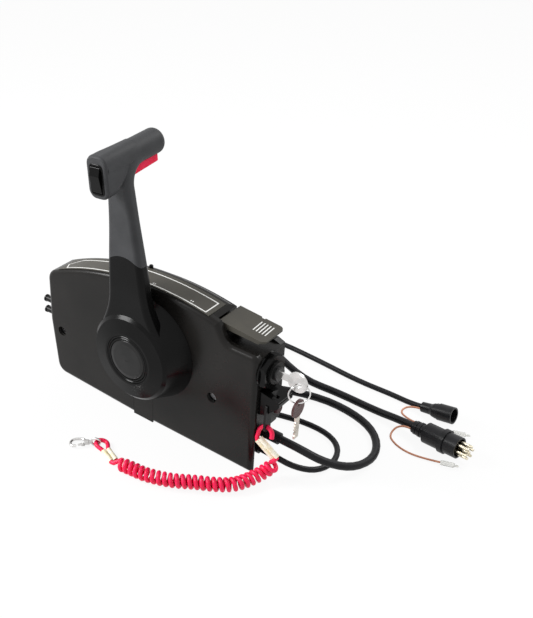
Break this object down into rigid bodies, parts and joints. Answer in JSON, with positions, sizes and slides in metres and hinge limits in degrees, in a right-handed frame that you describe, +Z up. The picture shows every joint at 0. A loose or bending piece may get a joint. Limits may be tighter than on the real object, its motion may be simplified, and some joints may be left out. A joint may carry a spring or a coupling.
{
  "type": "boat throttle control lever",
  "caption": "Side mount boat throttle and shift control: lever with trim rocker and neutral trigger on a hub, crowned box, key switch, stop clip on a curly lanyard and harness",
  "frame": {"origin": "where the lever's pivot axis meets the mounting face", "axes": "+X towards the key switch, +Y out of the back into the side panel, +Z up"},
  "size_m": [0.512, 0.3442, 0.3587],
  "materials": {
    "housing_black": "semi-gloss moulded black",
    "cover_black": "moulded black",
    "label_grey": "satin dark grey sheet with light marks",
    "panel_black": "moulded black",
    "bolt_steel": "dark zinc",
    "screw_steel": "zinc",
    "port_black": "moulded black",
    "bush_bronze": "sintered bronze",
    "shaft_steel": "turned",
    "gear_steel": "cut teeth",
    "pin_steel": "turned",
    "ring_black": "moulded black",
    "lever_black": "black coated die casting",
    "grip_rubber": "soft black overmould",
    "trigger_red": "moulded red",
    "spring_steel": "wire",
    "cap_black": "fine grained black",
    "bezel_black": "glossy black",
    "rocker_black": "satin black",
    "idle_black": "satin black with light marks",
    "switch_black": "satin black",
    "nut_black": "black",
    "barrel_black": "black coated zinc",
    "key_steel": "nickel plated",
    "ring_steel": "nickel plated wire",
    "hood_black": "black",
    "button_red": "moulded red",
    "clip_black": "black",
    "lanyard_red": "glossy red cord",
    "crimp_ivory": "ivory sleeve",
    "hook_steel": "nickel plated",
    "gland_black": "ribbed black rubber",
    "cable_black": "black sheath",
    "plug_black": "black",
    "contact_brass": "tinned",
    "lead_brown": "light brown insulation",
    "sleeve_clear": "clear sleeve over a contact",
    "horn_black": "black can"
  },
  "bodies": {
    "housing": {"front_housing": "housing_black", "rear_cover": "cover_black", "gear_label_plate": "label_grey", "access_panel": "panel_black", "mounting_bolts": "bolt_steel", "cover_screws": "screw_steel", "cable_ports": "port_black", "shaft_bushes": "bush_bronze", "sector_pins": "pin_steel", "lock_ring": "ring_black", "fast_idle_pin": "pin_steel", "ignition_body": "switch_black", "ignition_nut": "nut_black", "stop_switch_hood": "hood_black", "engine_gland": "gland_black", "tach_gland": "gland_black", "engine_cable_run": "cable_black", "engine_cable_coil": "cable_black", "engine_cable_tail": "cable_black", "engine_plug": "plug_black", "engine_plug_pins": "contact_brass", "engine_lead": "lead_brown", "engine_bullet": "sleeve_clear", "tach_cable_run": "cable_black", "tach_cable_coil": "cable_black", "tach_cable_tail": "cable_black", "tach_plug": "plug_black", "tach_lead": "lead_brown", "tach_bullet": "sleeve_clear", "warning_horn": "horn_black", "neutral_switch": "switch_black"},
    "lever": {"lever_arm": "lever_black", "grip_overmould": "grip_rubber", "hub_cap": "cap_black", "cap_ring": "ring_black", "rocker_bezel": "bezel_black", "lever_bolt": "bolt_steel", "main_shaft": "shaft_steel", "drive_gear": "gear_steel", "trigger_spring": "spring_steel"},
    "trigger": {"lock_trigger": "trigger_red", "lock_rod": "pin_steel"},
    "rocker": {"trim_rocker": "rocker_black"},
    "fast_idle": {"fast_idle_plate": "idle_black"},
    "key": {"key_barrel": "barrel_black", "ignition_key": "key_steel"},
    "split_ring": {"key_ring": "ring_steel"},
    "second_key": {"spare_key": "key_steel"},
    "button": {"stop_button": "button_red"},
    "lanyard": {"safety_clip": "clip_black", "lanyard_loop": "lanyard_red", "clip_crimps": "crimp_ivory", "lanyard_curl": "lanyard_red", "hook_crimps": "crimp_ivory", "hook_loop": "lanyard_red", "snap_hook": "hook_steel"},
    "gate": {"hook_gate": "hook_steel"},
    "shift": {"shift_sector": "gear_steel"},
    "throttle": {"throttle_sector": "gear_steel"}
  },
  "joints": [
    {"name": "lever_swing", "type": "hinge", "parent": "housing", "child": "lever", "pos_m": [0, 0, 0], "axis": [0, 1, 0], "range_deg": [-85, 60]},
    {"name": "trigger_squeeze", "type": "slide", "parent": "lever", "child": "trigger", "axis": [-0.0924, 0, 0.9957], "range_m": [0, 0.005], "stiffness_N_per_m": 900, "springref_m": -0.004, "deforming": ["trigger_spring"]},
    {"name": "trim_rocker_tilt", "type": "hinge", "parent": "lever", "child": "rocker", "pos_m": [-0.02055, -0.103, 0.22155], "axis": [0.9957, 0, 0.0924], "range_deg": [-7, 7], "stiffness_Nm_per_rad": 0.3},
    {"name": "fast_idle_lift", "type": "hinge", "parent": "housing", "child": "fast_idle", "pos_m": [0.093, -0.026, 0.056], "axis": [0, -1, 0], "range_deg": [0, 38]},
    {"name": "key_turn", "type": "hinge", "parent": "housing", "child": "key", "pos_m": [0.16, -0.0325, 0.0245], "axis": [1, 0, 0], "range_deg": [-80, 0]},
    {"name": "ring_swing", "type": "hinge", "parent": "key", "child": "split_ring", "pos_m": [0.192, -0.0325, 0.022], "axis": [0, 1, 0], "range_deg": [-30, 8]},
    {"name": "spare_key_swing", "type": "hinge", "parent": "split_ring", "child": "second_key", "pos_m": [0.192, -0.0325, -0.0012], "axis": [0.766, 0.6428, 0], "range_deg": [-20, 20]},
    {"name": "stop_button_press", "type": "slide", "parent": "housing", "child": "button", "axis": [-1, 0, 0], "range_m": [0, 0.0025], "stiffness_N_per_m": 800, "springref_m": -0.002},
    {"name": "clip_pull", "type": "slide", "parent": "housing", "child": "lanyard", "axis": [0, -1, 0], "range_m": [0, 0.014]},
    {"name": "hook_gate_turn", "type": "hinge", "parent": "lanyard", "child": "gate", "pos_m": [-0.0267, -0.14148, -0.10449], "axis": [-0.118, -0.0738, 0.9903], "range_deg": [-20, 0], "stiffness_Nm_per_rad": 0.02, "springref_deg": 5.73},
    {"name": "shift_sector_turn", "type": "hinge", "parent": "housing", "child": "shift", "pos_m": [-0.05196, -0.032, -0.03], "axis": [0, 1, 0], "range_deg": [-31, 44]},
    {"name": "throttle_sector_turn", "type": "hinge", "parent": "housing", "child": "throttle", "pos_m": [0.05196, -0.032, -0.03], "axis": [0, 1, 0], "range_deg": [-31, 44]}
  ],
  "couplings": [
    {"joint": "shift_sector_turn", "follows": "lever_swing", "ratio": -0.5},
    {"joint": "throttle_sector_turn", "follows": "lever_swing", "ratio": -0.5}
  ]
}
